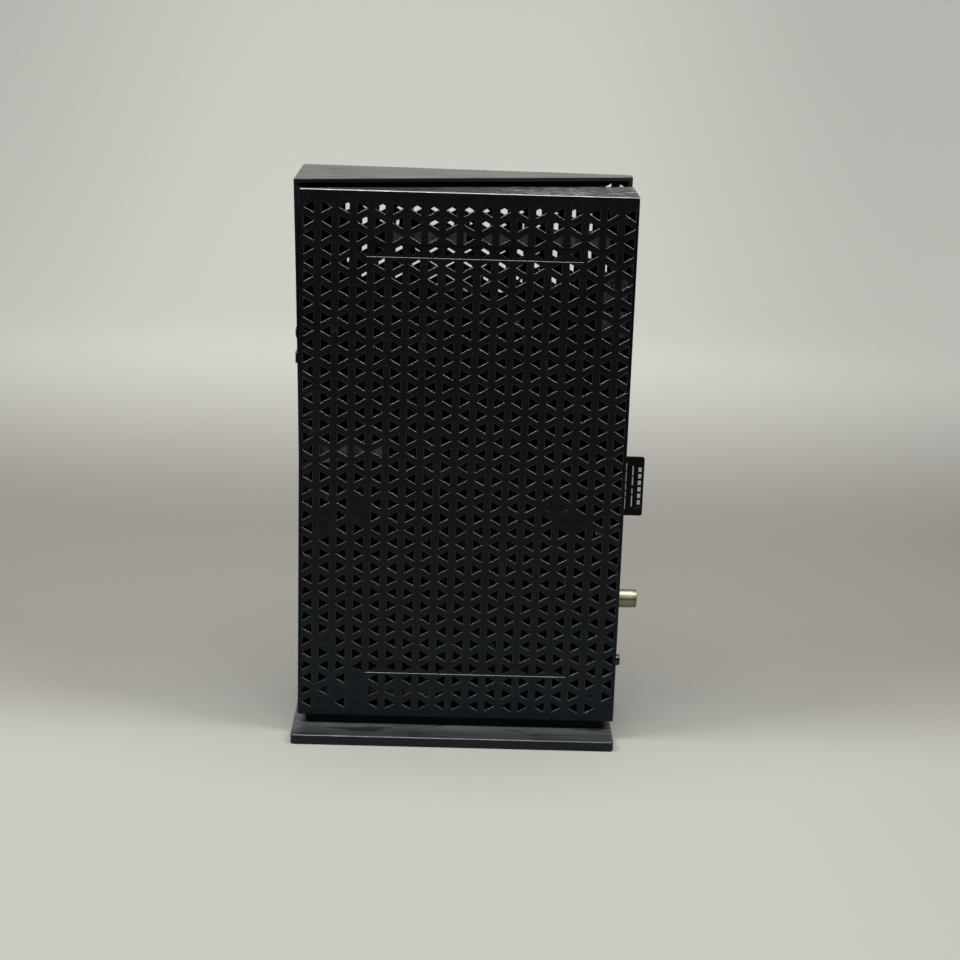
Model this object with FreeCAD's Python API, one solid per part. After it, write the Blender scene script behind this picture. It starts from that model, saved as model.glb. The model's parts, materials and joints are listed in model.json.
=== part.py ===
import FreeCAD, Part
import math
import os

"""Stand-up wireless cable router: a tall slotted body on a flat stand.

Units are millimetres. The origin is the centre of the stand's underside, +Z is up, -X is the narrow
edge with the lights, +X is the narrow edge with the sockets, and -Y is the broad front panel.
Body pieces are drawn from the front panel's left front corner, with Z from the floor, and moved into
the stand's frame by BODY_AT when they are saved.
"""

V = FreeCAD.Vector
BODY_AT = V(-79.5, -28.4, 0)

# Stand
BASE_LENGTH = 164.0
BASE_DEPTH = 88.0
BASE_TOP = 5.15
BASE_SKIN = 2.2
BASE_RIM = 3.0
BASE_RIBS = (-42.0, -18.0, 18.0, 48.0)
FOOT_HEIGHT = 0.5
NECK_INSET = 3.4
NECK_WALL = 3.0
NECK_WEB = 1.4
FOOT_RADIUS = 6.0
STAND_SCREWS = [(24.0, 20.0), (24.0, 46.0), (136.0, 17.0), (118.0, 45.0)]

# Body
PANEL_LENGTH = 162.0
PANEL_BOTTOM = 10.0
PANEL_TOP = 279.0
CAP_TOP = 283.3
WALL = 2.0
SEAM_THICK = 1.5
FRONT_DEPTH_LEFT = 2.7
FRONT_DEPTH_RIGHT = 39.8
RIM_AT_LEFT = 3.1
RIM_AT_RIGHT = 45.5
BACK_AT_LEFT = 59.85
BACK_AT_RIGHT = 52.0
EDGE_AT_TOP = -3.1
EDGE_AT_MIDDLE = -0.75
EDGE_AT_BOTTOM = 0.8
EDGE_MIDDLE_Z = 180.0

# Slotted pattern
COLUMNS = 19
ROWS = 39
COLUMN_PITCH = PANEL_LENGTH / COLUMNS
FIRST_COLUMN = 4.36
ROW_PITCH = 6.676
TOP_ROW_BELOW = 8.46
TRIANGLE_SIDE = 5.5
POINT_SHIFT = 0.0
CLOSED_CELLS = [
    (23, 4), (24, 4), (24, 2), (25, 2), (34, 2),
    (23, 15), (23, 16), (24, 16), (24, 17),
    (37, 4), (38, 3), (38, 4), (39, 2), (39, 4),
    (38, 18), (39, 19),
]
SHALLOW_ROWS = (4, 36)
SHALLOW_DEPTH = 0.4
BACK_COLUMNS = 17
BACK_COLUMN_PITCH = 8.61
BACK_FIRST_COLUMN = 12.05
BACK_ROWS = 38
BACK_ROW_PITCH = 6.715
BACK_HIGH_ROW = 276.5
BACK_TOP_ROW = 269.785
BACK_TOP_CELLS = [(149.8, 5.0, True), (158.2, 4.4, False)]
BACK_TRIANGLE_SIDE = 5.2
BACK_EDGE_INSET = 2.8

# Cover screws: X, Z of each post, with the place where the two halves of the post meet
POSTS = [
    (29.84, 121.1, 11.2),
    (29.84, 24.0, 11.2),
    (153.0, 20.4, 38.1),
    (153.0, 268.0, 38.1),
]
POST_RADIUS = 3.3
REAR_POST_RADIUS = 4.0
SCREW_HEAD_RADIUS = 2.7
SCREW_CORE = 1.25
SCREW_FLOOR = 3.0

# Circuit board, with its parts on the side that faces the front panel
BOARD_Y = 27.0
BOARD_THICK = 1.6
BOARD_LEFT = 10.0
BOARD_RIGHT = 159.5
BOARD_BOTTOM = 15.0
BOARD_TOPS = [(10.0, 229.0), (70.0, 226.5), (108.0, 231.0), (134.0, 237.0)]
BOARD_HOLES = [(42.0, 38.0), (42.0, 216.0), (152.0, 104.0), (122.0, 216.0)]
FRAME_Y = 31.0
FRAME_THICK = 3.0
FRAME_FIXINGS = [(16.0, 50.0), (16.0, 235.0), (153.6, 116.0), (153.6, 240.0)]
ANTENNA_LOW = 250.5
ANTENNA_HIGH = 257.5
ANTENNAS = [(44.0, 80.0), (88.0, 114.0), (121.0, 151.0)]
ANTENNA_TABS = [(46.5, 50.0), (52.5, 58.0), (73.5, 81.5), (99.5, 107.5), (130.5, 134.5), (147.5, 152.0)]
TAB_TOP = 263.5
LEAD_RADIUS = 0.65
LEAD_Z = 214.0
LEAD_FIRST_X = 70.0
LEAD_PITCH = 18.0
LEAD_TURNS = (234.0, 246.0)
CHIP_HEIGHTS = {"modem": 1.2, "router": 1.4, "memory": 1.1}
PAD_THICK = 0.5
SINK = (58.0, 112.0, 60.0, 108.0)
SINK_BASE = 2.5
SINK_FRONT = 11.5
FINS = 12
FIN_THICK = 1.6
MEMORY_PLACES = [(104.0, 126.0), (60.0, 126.0), (60.0, 142.0)]
CAPACITORS = [
    (110.0, 42.0, 4.0, 12.0), (120.0, 42.0, 4.0, 12.0),
    (130.0, 48.0, 3.2, 9.0), (98.0, 42.0, 3.2, 9.0),
]

# Sockets on the +X edge: heights above the floor
PORT_Y = 20.0
POWER_Z = 35.5
DC_Z = 52.0
COAX_Z = 70.3
RESET_Z = 92.0
LABEL_Z = 134.1
LAN_FIRST_Z = 155.6
LAN_PITCH = 14.2
LAN_COUNT = 4
USB_Z = (213.4, 229.0)
COAX_RADIUS = 4.76
COAX_BODY_RADIUS = 5.3
COAX_NUT_FLATS = 12.0
COAX_TIP = 172.4
LABEL_HEIGHT = 30.5
LABEL_LENGTH = 53.0
LABEL_OUT = 9.7
LABEL_Y = 7.2
LABEL_THICK = 1.2

# Lights and buttons on the -X edge
STRIP_FRONT = 5.0
STRIP_BACK = 19.0
STRIP_BOTTOM = 40.0
STRIP_TOP = 262.0
STRIP_THICK = 1.2
LIGHT_Y = 11.0
LIGHT_FIRST_Z = 92.0
LIGHT_PITCH = 12.0
LIGHT_COUNT = 8
WIFI_BUTTON_Z = 207.4
WPS_BUTTON_Z = 195.3
SIDE_BUTTON_Y = 10.0
SIDE_BUTTON_PROUD = 1.1
LIGHT_BOARD_X = 6.5
LIGHT_BOARD_THICK = 1.2
LIGHT_BOARD_SCREWS = (86.0, 222.0)
LENS_RADIUS = 1.1


# ---------------------------------------------------------------- helpers
def box(x0, x1, y0, y1, z0, z1):
    return Part.makeBox(x1 - x0, y1 - y0, z1 - z0, V(x0, y0, z0))


def rod_x(radius, x0, x1, y, z):
    return Part.makeCylinder(radius, x1 - x0, V(x0, y, z), V(1, 0, 0))


def rod_y(radius, y0, y1, x, z):
    return Part.makeCylinder(radius, y1 - y0, V(x, y0, z), V(0, 1, 0))


def rod_z(radius, z0, z1, x, y):
    return Part.makeCylinder(radius, z1 - z0, V(x, y, z0), V(0, 0, 1))


def prism(outline, z0, z1):
    points = [V(x, y, z0) for x, y in outline]
    face = Part.Face(Part.makePolygon(points + points[:1]))
    return face.extrude(V(0, 0, z1 - z0))


def rounded_box_x(x0, x1, y, z, width, height, radius):
    """A block along X, width in Y and height in Z, with rounded long edges."""
    block = box(x0, x1, y - width / 2, y + width / 2, z - height / 2, z + height / 2)
    long_edges = [e for e in block.Edges if abs(e.tangentAt(e.FirstParameter).x) > 0.9]
    return block.makeFillet(radius, long_edges)


def join(shapes):
    shapes = list(shapes)
    if len(shapes) == 1:
        return shapes[0]
    return shapes[0].multiFuse(shapes[1:]).removeSplitter()


def group(shapes):
    return Part.makeCompound(list(shapes))


def save(name, shape, at=BODY_AT):
    piece = shape.copy()
    piece.translate(at)
    piece.exportStep("parts/" + name + ".step")


def on_line(left, right, x):
    return left + (right - left) * x / PANEL_LENGTH


def front_split(x):
    """Back edge of the front wedge, seen from above."""
    return on_line(FRONT_DEPTH_LEFT, FRONT_DEPTH_RIGHT, x)


def rim(x):
    """Front edge of the rear wedge, seen from above."""
    return on_line(RIM_AT_LEFT, RIM_AT_RIGHT, x)


def back(x):
    """Outside of the back wall, seen from above."""
    return on_line(BACK_AT_LEFT, BACK_AT_RIGHT, x)


BACK_ANGLE = math.atan((BACK_AT_RIGHT - BACK_AT_LEFT) / PANEL_LENGTH)
BACK_WALL_Y = WALL / math.cos(BACK_ANGLE)


def edge_arc(inward):
    """The gently leaning lights edge, moved inward along X."""
    return Part.Arc(
        V(EDGE_AT_BOTTOM + inward, 0, PANEL_BOTTOM),
        V(EDGE_AT_MIDDLE + inward, 0, EDGE_MIDDLE_Z),
        V(EDGE_AT_TOP + inward, 0, CAP_TOP),
    )


def edge_x(z):
    """X of the lights edge at a height."""
    curve = edge_arc(0).toShape()
    level = Part.makeLine(V(-20, 0, z), V(20, 0, z))
    return curve.distToShape(level)[1][0][0].x


def behind_edge(inward, right, y0, y1):
    """Everything between the lights edge and X = right, over the body's height."""
    arc = edge_arc(inward).toShape()
    low, high = arc.Vertexes[0].Point, arc.Vertexes[-1].Point
    rest = Part.makePolygon([high, V(right, 0, high.z), V(right, 0, low.z), low])
    face = Part.Face(Part.Wire([arc] + rest.Edges))
    solid = face.extrude(V(0, y1 - y0, 0))
    solid.translate(V(0, y0, 0))
    return solid


def edge_band(inner, outer, y0, y1, z0, z1):
    """A strip of the lights edge between two depths."""
    thick = behind_edge(inner, 40, y0, y1).cut(behind_edge(outer, 60, y0 - 1, y1 + 1))
    return thick.common(box(-30, 30, y0, y1, z0, z1))


# ---------------------------------------------------------------- slotted panels
def triangle(x, z, side, to_left):
    """One slot, set a little towards its point."""
    way = -1 if to_left else 1
    half_width = side * math.sqrt(3) / 4
    tip = x + way * (half_width + POINT_SHIFT)
    flat = x - way * (half_width - POINT_SHIFT)
    corners = [V(tip, 0, z), V(flat, 0, z + side / 2), V(flat, 0, z - side / 2)]
    return Part.makePolygon(corners + corners[:1])


def cell_x(column):
    return FIRST_COLUMN + (column - 1) * COLUMN_PITCH


def cell_z(row):
    return PANEL_TOP - TOP_ROW_BELOW - (row - 1) * ROW_PITCH


def points_left(row, column):
    return (row + column) % 2 == 0


def cells(rows, columns):
    return [(row, column) for row in range(1, rows + 1) for column in range(1, columns + 1)]


def front_triangle(row, column):
    return triangle(cell_x(column), cell_z(row), TRIANGLE_SIDE, points_left(row, column))


def plate(outline, holes):
    face = Part.makeFace([outline] + holes, "Part::FaceMakerBullseye")
    return face.extrude(V(0, WALL, 0))


def front_plate():
    corners = [V(0, 0, PANEL_BOTTOM), V(PANEL_LENGTH, 0, PANEL_BOTTOM),
               V(PANEL_LENGTH, 0, PANEL_TOP), V(0, 0, PANEL_TOP)]
    outline = Part.makePolygon(corners + corners[:1])
    opened = [cell for cell in cells(ROWS, COLUMNS) if cell not in CLOSED_CELLS]
    panel = plate(outline, [front_triangle(row, column) for row, column in opened])
    dents = []
    for row, column in CLOSED_CELLS:
        mark = Part.Face(front_triangle(row, column))
        dents.append(mark.extrude(V(0, SHALLOW_DEPTH, 0)))
    dents.extend(shallow_band(row) for row in SHALLOW_ROWS)
    return panel.cut(group(dents))


def shallow_band(row):
    """A long shallow step across the panel, one row high, pointed at its lights end."""
    low = cell_z(row) - ROW_PITCH / 2
    high = cell_z(row) + ROW_PITCH / 2
    start = 3.4 * COLUMN_PITCH
    end = 16 * COLUMN_PITCH
    slope = ROW_PITCH / 2
    corners = [V(start, -1, cell_z(row)), V(start + slope, -1, high), V(end, -1, high),
               V(end, -1, low), V(start + slope, -1, low)]
    return Part.Face(Part.makePolygon(corners + corners[:1])).extrude(V(0, 1 + SHALLOW_DEPTH, 0))


def back_plate():
    """The slotted back wall, drawn flat and then swung to its angle."""
    left = edge_arc(BACK_EDGE_INSET).toShape()
    low, high = left.Vertexes[0].Point, left.Vertexes[-1].Point
    right = PANEL_LENGTH - WALL / 2
    rest = Part.makePolygon([high, V(right, 0, high.z), V(right, 0, low.z), low])
    outline = Part.Wire([left] + rest.Edges)
    holes = [triangle(x, BACK_HIGH_ROW, side, to_left) for x, side, to_left in BACK_TOP_CELLS]
    for row, column in cells(BACK_ROWS, BACK_COLUMNS):
        x = BACK_FIRST_COLUMN + (column - 1) * BACK_COLUMN_PITCH
        z = BACK_TOP_ROW - (row - 1) * BACK_ROW_PITCH
        near_post = any(math.hypot(x - px, z - pz) < REAR_POST_RADIUS + 3 for px, pz, _ in POSTS)
        if not near_post:
            holes.append(triangle(x, z, BACK_TRIANGLE_SIDE, not points_left(row, column)))
    panel = plate(outline, holes)
    panel = panel.common(box(-20, 200, -1, 10, PANEL_BOTTOM + 1, CAP_TOP - 1))
    panel.rotate(V(0, 0, 0), V(0, 0, 1), math.degrees(BACK_ANGLE))
    panel.translate(V(0, BACK_AT_LEFT - BACK_WALL_Y, 0))
    return panel


# ---------------------------------------------------------------- covers
def front_wedge(z0, z1):
    outline = [(0, 0), (PANEL_LENGTH, 0), (PANEL_LENGTH, front_split(PANEL_LENGTH) - 2.0),
               (PANEL_LENGTH - 2.5, front_split(PANEL_LENGTH - 2.5)), (0, front_split(0))]
    return prism(outline, z0, z1)


def front_cover():
    panel = front_plate()
    outer_edges = []
    for edge in panel.Edges:
        b = edge.BoundBox
        long_edge = max(b.XLength, b.ZLength) > 150
        if long_edge and b.YMax < 0.01:
            outer_edges.append(edge)
    panel = panel.makeFillet(0.5, outer_edges)
    walls = [front_wedge(PANEL_TOP - WALL, PANEL_TOP).cut(box(-1, 200, -1, WALL / 2, 0, 300)),
             front_wedge(PANEL_BOTTOM, PANEL_BOTTOM + WALL).cut(box(-1, 200, -1, WALL / 2, 0, 300))]
    bosses = []
    for x, z, meet in POSTS:
        bosses.append(rod_y(POST_RADIUS, WALL / 2, meet - 0.1, x, z))
    bosses.append(rod_y(POST_RADIUS, WALL / 2, LABEL_Y - 1.2, cell_x(15.8), cell_z(23.5)))
    bosses.append(rod_z(3.5, PANEL_BOTTOM + WALL / 2, 20.0, *STAND_SCREWS[2]))
    shell = join([panel] + walls + bosses)
    for x, z, meet in POSTS:
        shell = shell.cut(rod_y(SCREW_CORE, meet - 9.0, meet + 1, x, z))
    return shell.cut(rod_z(SCREW_CORE, 0, 17.0, *STAND_SCREWS[2]))


def rear_solid():
    outline = [(-20, rim(-20)), (PANEL_LENGTH, rim(PANEL_LENGTH)),
               (PANEL_LENGTH, back(PANEL_LENGTH)), (-20, back(-20))]
    solid = prism(outline, PANEL_BOTTOM, CAP_TOP).common(behind_edge(0, PANEL_LENGTH, -20, 90))
    corner = [e for e in solid.Edges if e.BoundBox.ZLength > 200 and e.BoundBox.YMin > 58]
    solid = solid.makeFillet(2.5, corner)
    top = [e for e in solid.Edges if e.BoundBox.ZMin > CAP_TOP - 0.01]
    return solid.makeFillet(0.6, top)


def rear_cavity():
    right = PANEL_LENGTH - WALL
    inner_back = [(right, back(right) - BACK_WALL_Y), (-20, back(-20) - BACK_WALL_Y)]
    outline = [(-20, -20), (right, -20)] + inner_back
    room = prism(outline, PANEL_BOTTOM + WALL, CAP_TOP - WALL)
    window = prism([(-20, 30), (right, 30), (right, 90), (-20, 90)],
                   PANEL_BOTTOM + WALL, CAP_TOP - WALL)
    return [room.common(behind_edge(WALL, PANEL_LENGTH, -30, 100)),
            window.common(behind_edge(WALL + 1.2, PANEL_LENGTH, -30, 100))]


def rear_cover():
    walls = rear_solid()
    for room in rear_cavity():
        walls = walls.cut(room)
    additions = [back_plate()]
    for x, z, meet in POSTS:
        additions.append(rod_y(REAR_POST_RADIUS, meet, back(x) - WALL / 2, x, z))
    for x, z in FRAME_FIXINGS:
        additions.append(rod_y(3.0, FRAME_Y + FRAME_THICK, back(x) - WALL / 2, x, z))
    for x, y in (STAND_SCREWS[0], STAND_SCREWS[1], STAND_SCREWS[3]):
        additions.append(rod_z(3.5, PANEL_BOTTOM + WALL / 2, 20.0, x, y))
    for z in LIGHT_BOARD_SCREWS:
        additions.append(rod_x(2.2, edge_x(z) + WALL / 2, LIGHT_BOARD_X, LIGHT_Y + 3.5, z))
    shell = join([walls] + additions)
    cuts = [edge_band(-2, STRIP_THICK, STRIP_FRONT, STRIP_BACK, STRIP_BOTTOM, STRIP_TOP)]
    for x, z, meet in POSTS:
        cuts.append(rod_y(SCREW_HEAD_RADIUS + 0.4, meet + SCREW_FLOOR, 70, x, z))
        cuts.append(rod_y(1.7, meet - 1, meet + 4, x, z))
    for x, z in FRAME_FIXINGS:
        cuts.append(rod_y(1.0, FRAME_Y, FRAME_Y + FRAME_THICK + 8, x, z))
    for x, y in (STAND_SCREWS[0], STAND_SCREWS[1], STAND_SCREWS[3]):
        cuts.append(rod_z(SCREW_CORE, 0, 17.0, x, y))
    for z in LIGHT_BOARD_SCREWS:
        cuts.append(rod_x(0.8, LIGHT_BOARD_X - 4, LIGHT_BOARD_X + 1, LIGHT_Y + 3.5, z))
    cuts.extend(light_holes(1.5))
    cuts.extend(side_button_holes())
    return shell.cut(group(cuts))


def seam_strip(z0, z1):
    """A thin strip that closes the diagonal seam between the two covers."""
    left, right = 14.0, 157.0
    tuck, reach = 1.5, 2.5
    outline = [(left, front_split(left) - tuck), (right, front_split(right) - tuck),
               (right, rim(right) + reach), (left, rim(left) + reach)]
    return prism(outline, z0, z1)


# ---------------------------------------------------------------- lights edge
def light_heights():
    return [LIGHT_FIRST_Z + step * LIGHT_PITCH for step in range(LIGHT_COUNT)]


def light_holes(radius):
    return [rod_x(radius, -6, 5, LIGHT_Y, z) for z in light_heights()]


def side_button_holes():
    gap = 0.3
    return [rod_x(3.0 + gap, -6, 3, SIDE_BUTTON_Y, WIFI_BUTTON_Z),
            rounded_box_x(-6, 3, SIDE_BUTTON_Y, WPS_BUTTON_Z, 6.1 + 2 * gap, 6.1 + 2 * gap, 1.5)]


def led_bezel():
    gap = 0.1
    strip = edge_band(0, STRIP_THICK, STRIP_FRONT + gap, STRIP_BACK - gap,
                      STRIP_BOTTOM + gap, STRIP_TOP - gap)
    return strip.cut(group(light_holes(LENS_RADIUS + 0.05) + side_button_holes()))


def led_lens(z):
    lens = rod_x(LENS_RADIUS, edge_x(z) - 0.4, 5.4, LIGHT_Y, z)
    return lens.common(behind_edge(0, 40, 0, 30))


def wifi_button():
    face = edge_x(WIFI_BUTTON_Z) - SIDE_BUTTON_PROUD
    cap = rod_x(3.0, face, 1.7, SIDE_BUTTON_Y, WIFI_BUTTON_Z)
    rounded = [e for e in cap.Edges if e.BoundBox.XMax < face + 0.01]
    cap = cap.makeFillet(0.9, rounded)
    flange = rod_x(4.0, 1.7, 2.5, SIDE_BUTTON_Y, WIFI_BUTTON_Z)
    return join([cap, flange, rod_x(1.2, 2.5, 3.2, SIDE_BUTTON_Y, WIFI_BUTTON_Z)])


def wps_button():
    face = edge_x(WPS_BUTTON_Z) - SIDE_BUTTON_PROUD - 0.2
    cap = rounded_box_x(face, 1.9, SIDE_BUTTON_Y, WPS_BUTTON_Z, 6.1, 6.1, 1.2)
    rounded = [e for e in cap.Edges if e.BoundBox.XMax < face + 0.01]
    cap = cap.makeFillet(0.35, rounded)
    flange = rounded_box_x(1.9, 2.6, SIDE_BUTTON_Y, WPS_BUTTON_Z, 8.0, 8.0, 1.2)
    return join([cap, flange, rod_x(1.2, 2.6, 3.2, SIDE_BUTTON_Y, WPS_BUTTON_Z)])


def side_switch(z):
    body = box(4.6, LIGHT_BOARD_X, SIDE_BUTTON_Y - 2.2, SIDE_BUTTON_Y + 2.2, z - 2.2, z + 2.2)
    return body.fuse(rod_x(1.0, 4.1, 4.6, SIDE_BUTTON_Y, z))


def led_board():
    board = box(LIGHT_BOARD_X, LIGHT_BOARD_X + LIGHT_BOARD_THICK, 6.0, 18.0,
                LIGHT_BOARD_SCREWS[0] - 4, LIGHT_BOARD_SCREWS[1] + 4)
    return board.cut(group([rod_x(1.1, 5, 9, LIGHT_Y + 3.5, z) for z in LIGHT_BOARD_SCREWS]))


def led_chip(z):
    return box(LIGHT_BOARD_X - 0.7, LIGHT_BOARD_X, LIGHT_Y - 0.8, LIGHT_Y + 0.8, z - 0.5, z + 0.5)


# ---------------------------------------------------------------- screws
def screw(shank_radius, head_radius, head_height, length):
    """A pan-head screw along +Z, tip down, with a cross recess; the head sits on Z = 0."""
    head = Part.makeCylinder(head_radius, head_height)
    rim_edges = [e for e in head.Edges if e.BoundBox.ZMin > head_height - 0.01]
    head = head.makeFillet(head_height * 0.45, rim_edges)
    shank = Part.makeCylinder(shank_radius, length, V(0, 0, -length))
    arm = head_radius * 0.6
    for angle in (0, 90):
        slot = box(-arm, arm, -0.3, 0.3, head_height * 0.4, head_height + 1)
        slot.rotate(V(0, 0, 0), V(0, 0, 1), angle)
        head = head.cut(slot)
    return head.fuse(shank)


def placed(shape, head_towards, at):
    turned = shape.copy()
    turned.rotate(V(0, 0, 0), *{"+Y": (V(1, 0, 0), -90), "-Y": (V(1, 0, 0), 90), "+X": (V(0, 1, 0), 90),
                                "-Z": (V(1, 0, 0), 180)}[head_towards])
    turned.translate(at)
    return turned


# ---------------------------------------------------------------- sockets edge
def port_panel():
    step_x = 157.3
    outline = [(PANEL_LENGTH, WALL + 0.2), (PANEL_LENGTH, front_split(PANEL_LENGTH) - 2.2),
               (PANEL_LENGTH - 0.5, front_split(PANEL_LENGTH) - 1.4),
               (step_x + 1.6, front_split(159.0) - 0.2), (step_x + 1.6, 48.4),
               (step_x, 48.4), (step_x, front_split(159.0) - 2.2),
               (PANEL_LENGTH - WALL, front_split(159.0) - 2.8), (PANEL_LENGTH - WALL, WALL + 0.2)]
    panel = prism(outline, PANEL_BOTTOM + WALL + 0.2, PANEL_TOP - WALL - 0.2)
    cuts = [rod_x(COAX_BODY_RADIUS + 0.2, 150, 165, PORT_Y, COAX_Z),
            rod_x(3.25, 150, 165, PORT_Y + 2, POWER_Z),
            rod_x(1.1, 150, 165, PORT_Y + 3.2, RESET_Z),
            box(159, 163, LABEL_Y - 0.3, LABEL_Y + LABEL_THICK + 0.3,
                LABEL_Z - LABEL_HEIGHT / 2 - 0.3, LABEL_Z + LABEL_HEIGHT / 2 + 0.3),
            box(159, 163, 15.8, 27.2, DC_Z - 4.7, DC_Z + 4.7)]
    for z in lan_heights():
        cuts.append(box(159, 163, 13.4, 27.1, z - 7.0, z + 7.0))
    for z in USB_Z:
        cuts.append(box(159, 163, 19.4, 27.1, z - 6.9, z + 6.9))
    return panel.cut(group(cuts))


def lan_heights():
    return [LAN_FIRST_Z + step * LAN_PITCH for step in range(LAN_COUNT)]


def lan_jack(z):
    body = box(146.5, 161.8, 13.6, BOARD_Y, z - 6.9, z + 6.9)
    body = body.cut(box(149.5, 163, 15.4, 22.8, z - 5.9, z + 5.9))
    body = body.cut(box(151.5, 163, 14.9, 16, z - 3.1, z + 3.1))
    return body.cut(box(157.5, 163, 14.3, 16, z - 1.9, z + 1.9))


def lan_contacts(z):
    wires = []
    for place in range(8):
        start = z - 3.57 + place * 1.02 - 0.17
        outline = [(160.0, 22.8), (151.2, 20.4), (151.2, 20.8), (158.4, 22.8)]
        wires.append(prism(outline, start, start + 0.34))
    return wires


def usb_port(z):
    shell = box(147.0, 162.1, 19.6, BOARD_Y, z - 6.7, z + 6.7)
    return shell.cut(box(148.0, 163, 20.1, 26.5, z - 6.2, z + 6.2))


def usb_tongue(z):
    return box(148.0, 160.6, 23.4, 25.2, z - 5.5, z + 5.5)


def dc_jack():
    body = box(147.0, 161.9, 16.0, BOARD_Y, DC_Z - 4.5, DC_Z + 4.5)
    return body.cut(rod_x(3.2, 152.5, 163, PORT_Y + 1.5, DC_Z))


def dc_pin():
    pin = rod_x(1.0, 152.5, 161.0, PORT_Y + 1.5, DC_Z)
    return pin.makeFillet(0.5, [e for e in pin.Edges if e.BoundBox.XMin > 160.9])


def power_button():
    cap = rod_x(2.95, 152.6, 165.7, PORT_Y + 2, POWER_Z)
    cap = cap.makeFillet(0.6, [e for e in cap.Edges if e.BoundBox.XMin > 165.6])
    return cap.fuse(rod_x(1.5, 145.5, 152.6, PORT_Y + 2, POWER_Z))


def power_switch():
    body = box(138.0, 150.0, 18.0, BOARD_Y, POWER_Z - 4.4, POWER_Z + 4.4)
    return body.cut(rod_x(1.9, 142.9, 151, PORT_Y + 2, POWER_Z))


def reset_switch():
    body = box(150.5, 155.5, 20.2, BOARD_Y, RESET_Z - 3.1, RESET_Z + 3.1)
    return body.cut(rod_x(1.65, 153.8, 156, PORT_Y + 3.2, RESET_Z))


def coax_connector():
    barrel = rod_x(COAX_RADIUS, 157.5, COAX_TIP, PORT_Y, COAX_Z)
    barrel = barrel.makeChamfer(0.6, [e for e in barrel.Edges if e.BoundBox.XMin > COAX_TIP - 0.01])
    barrel = barrel.fuse(rod_x(COAX_BODY_RADIUS, 157.5, PANEL_LENGTH + 0.2, PORT_Y, COAX_Z))
    return barrel.cut(rod_x(3.7, 157, COAX_TIP + 1, PORT_Y, COAX_Z))


def coax_insulator():
    core = rod_x(3.7, 157.5, COAX_TIP - 0.6, PORT_Y, COAX_Z)
    return core.cut(rod_x(0.6, 161, COAX_TIP + 1, PORT_Y, COAX_Z))


def coax_nut():
    radius = COAX_NUT_FLATS / math.sqrt(3)
    turns = [math.radians(angle) for angle in range(0, 360, 60)]
    points = [V(157.5, PORT_Y + radius * math.cos(turn), COAX_Z + radius * math.sin(turn)) for turn in turns]
    nut = Part.Face(Part.makePolygon(points + points[:1])).extrude(V(2.3, 0, 0))
    return nut.cut(rod_x(COAX_BODY_RADIUS, 157, 161, PORT_Y, COAX_Z))


def label_card():
    x1 = PANEL_LENGTH + LABEL_OUT
    card = box(x1 - LABEL_LENGTH, x1, LABEL_Y, LABEL_Y + LABEL_THICK,
               LABEL_Z - LABEL_HEIGHT / 2, LABEL_Z + LABEL_HEIGHT / 2)
    ends = [e for e in card.Edges if e.BoundBox.YLength > 1 and e.BoundBox.XMin > x1 - 0.01]
    return card.makeFillet(1.2, ends)


def label_sleeve():
    low = LABEL_Z - LABEL_HEIGHT / 2
    high = LABEL_Z + LABEL_HEIGHT / 2
    sleeve = box(118.0, 159.8, LABEL_Y - 1.2, LABEL_Y + LABEL_THICK + 1.2, low - 1.7, high + 1.7)
    return sleeve.cut(box(117, 161, LABEL_Y - 0.3, LABEL_Y + LABEL_THICK + 0.3, low - 0.3, high + 0.3))


# ---------------------------------------------------------------- inside
def main_board():
    lefts = [left for left, _ in BOARD_TOPS]
    steps = zip(lefts, lefts[1:] + [BOARD_RIGHT], [top for _, top in BOARD_TOPS])
    y0, y1 = BOARD_Y, BOARD_Y + BOARD_THICK
    board = [box(left, right, y0, y1, BOARD_BOTTOM, top) for left, right, top in steps]
    holes = [rod_y(1.7, 20, 35, x, z) for x, z in BOARD_HOLES]
    holes += [rod_y(REAR_POST_RADIUS + 0.8, 20, 35, x, z) for x, z, _ in POSTS]
    return join(board).cut(group(holes))


def inner_frame():
    y0, y1 = FRAME_Y, FRAME_Y + FRAME_THICK
    bars = [box(3.4, 21, y0, y1, 29, 264), box(153.4, 159.6, y0, y1, 29, 262),
            box(18, 159.6, y0, y1, 29, 35), box(18, 159.6, y0, y1, ANTENNA_LOW, ANTENNA_HIGH),
            box(18, 159.6, y0, y1, 208, 214), box(118, 124, y0, y1, 208, 219), box(39, 45, y0, y1, 208, 219),
            box(39, 45, y0, y1, 29, 41), box(149, 156, y0, y1, 101, 107),
            box(150.2, 156, y0, y1, 112.5, 119.5), box(150.2, 156, y0, y1, 236.5, 243.5)]
    standoffs = [rod_y(3.0, BOARD_Y + BOARD_THICK, y0, x, z) for x, z in BOARD_HOLES]
    tabs = [box(left, right, y0, y1, ANTENNA_HIGH - 1, TAB_TOP) for left, right in ANTENNA_TABS]
    frame = join(bars + standoffs + tabs)
    cuts = [rod_y(0.9, 20, y1 - 0.5, x, z) for x, z in BOARD_HOLES]
    cuts += [rod_y(1.25, y0 - 1, y1 + 1, x, z) for x, z in FRAME_FIXINGS]
    return frame.cut(group(cuts))


def antenna_board(x0, x1):
    board = box(x0, x1, FRAME_Y - 1.0, FRAME_Y, ANTENNA_LOW, ANTENNA_HIGH)
    return board.cut(box((x0 + x1) / 2 - 1, (x0 + x1) / 2 + 1, 20, 40, ANTENNA_HIGH - 2, ANTENNA_HIGH + 1))


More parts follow.
